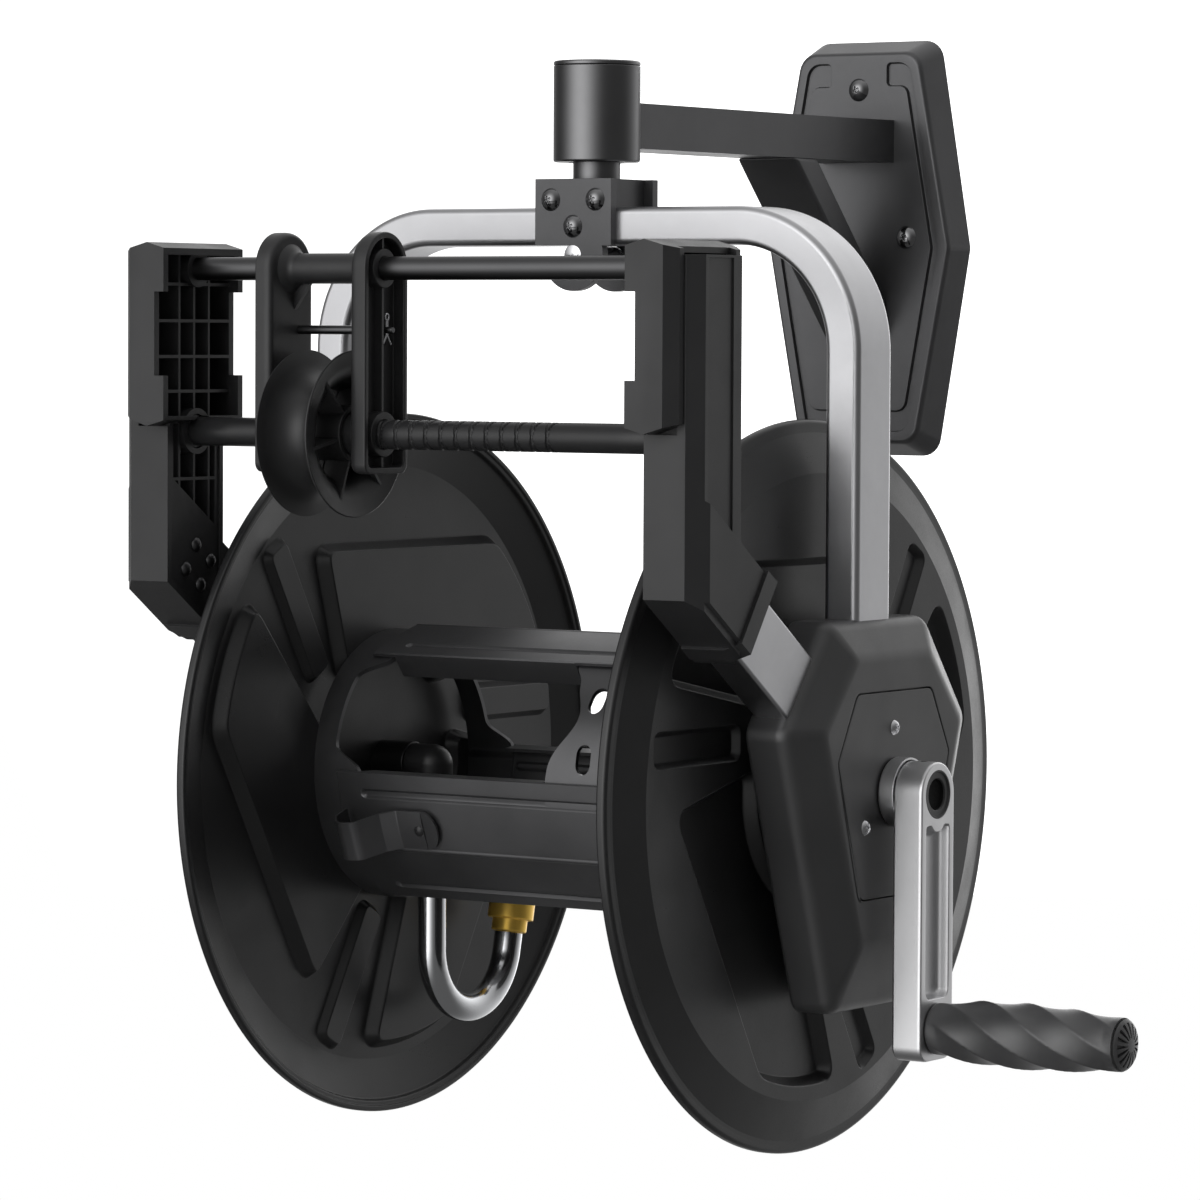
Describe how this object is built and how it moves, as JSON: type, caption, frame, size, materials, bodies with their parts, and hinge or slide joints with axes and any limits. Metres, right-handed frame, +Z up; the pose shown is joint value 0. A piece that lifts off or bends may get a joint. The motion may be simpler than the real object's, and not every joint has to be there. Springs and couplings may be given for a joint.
{
  "type": "wall mounted hose reel",
  "caption": "Wall mounted hose reel: a hinged yoke on a bracket arm carries a crank-wound open drum with a level-wind hose guide in front.",
  "frame": {"origin": "centre of the wall plate's back face", "axes": "+Y out of the plate's back, into the wall; +Z up; +X towards the crank"},
  "size_m": [0.5397, 0.5288, 0.5915],
  "materials": {
    "painted_black": "satin black powder coat",
    "moulded_black": "matt black moulding",
    "alloy": "satin",
    "chrome_pipe": "polished",
    "brass_fitting": "machined",
    "dark_steel": "dark satin",
    "bright_steel": "bright zinc",
    "bush_plastic": "plain bearing plastic",
    "belt_rubber": "matt",
    "grip_plastic": "smooth dark grey"
  },
  "bodies": {
    "wall_bracket": {"wall_plate": "painted_black", "wall_screws": "dark_steel", "swing_arm": "painted_black", "arm_brace": "painted_black", "swivel_sleeve": "painted_black", "swivel_cap": "moulded_black", "swivel_bushes": "bush_plastic"},
    "swing_frame": {"swivel_pin": "bright_steel", "pin_collar": "bright_steel", "clamp_front": "painted_black", "clamp_rear": "painted_black", "clamp_block": "painted_black", "clamp_bolts": "dark_steel", "yoke": "alloy", "housing_right": "moulded_black", "housing_left": "moulded_black", "cover_right": "moulded_black", "cover_left": "moulded_black", "cover_screws": "bright_steel", "axle_bushes": "bush_plastic", "guide_arm_right": "alloy", "guide_arm_left": "alloy", "tower_outer_right": "moulded_black", "tower_outer_left": "moulded_black", "tower_inner_right": "moulded_black", "tower_inner_left": "moulded_black", "tower_screws": "dark_steel", "guide_rod": "dark_steel", "screw_bushes": "bush_plastic", "drive_belts": "belt_rubber", "inlet_elbow": "brass_fitting"},
    "idler": {"idler_pulley": "moulded_black"},
    "drum": {"disc_right": "painted_black", "disc_left": "painted_black", "stave_top": "painted_black", "stave_front": "painted_black", "stave_rear": "painted_black", "hub_ring_left": "painted_black", "hub_ring_right": "painted_black", "crank_axle": "bright_steel", "water_axle": "bright_steel", "water_elbow": "moulded_black", "gooseneck": "chrome_pipe", "outlet_coupling": "brass_fitting", "hose_clip": "painted_black", "drive_pulley": "moulded_black", "crank_arm": "alloy", "crank_plug": "moulded_black", "crank_set_screw": "dark_steel", "grip_spindle": "bright_steel"},
    "grip": {"crank_grip": "grip_plastic", "grip_cap": "grip_plastic"},
    "wind_screw": {"level_screw": "dark_steel", "screw_pulley": "moulded_black"},
    "carriage": {"link_left": "moulded_black", "link_right": "moulded_black", "guide_sleeve": "moulded_black", "guide_pin": "dark_steel", "follower_tube": "moulded_black"},
    "roller": {"guide_roller": "moulded_black"}
  },
  "joints": [
    {"name": "swivel", "type": "hinge", "parent": "wall_bracket", "child": "swing_frame", "pos_m": [0, -0.291, 0.062], "axis": [0, 0, 1], "range_deg": [-90, 55]},
    {"name": "drum_turn", "type": "hinge", "parent": "swing_frame", "child": "drum", "pos_m": [0, -0.291, -0.283], "axis": [1, 0, 0], "continuous": true},
    {"name": "grip_turn", "type": "hinge", "parent": "drum", "child": "grip", "pos_m": [0.26, -0.291, -0.403], "axis": [1, 0, 0], "continuous": true},
    {"name": "idler_turn", "type": "hinge", "parent": "swing_frame", "child": "idler", "pos_m": [0.165, -0.446, -0.16836], "axis": [1, 0, 0], "continuous": true},
    {"name": "wind_screw_turn", "type": "hinge", "parent": "swing_frame", "child": "wind_screw", "pos_m": [0, -0.446, -0.101], "axis": [1, 0, 0], "continuous": true},
    {"name": "carriage_slide", "type": "slide", "parent": "swing_frame", "child": "carriage", "axis": [1, 0, 0], "range_m": [-0.0245, 0.1435]},
    {"name": "roller_turn", "type": "hinge", "parent": "carriage", "child": "roller", "pos_m": [-0.0595, -0.446, -0.101], "axis": [1, 0, 0], "continuous": true}
  ],
  "couplings": [
    {"joint": "idler_turn", "follows": "drum_turn", "ratio": 1},
    {"joint": "wind_screw_turn", "follows": "drum_turn", "ratio": 1}
  ]
}
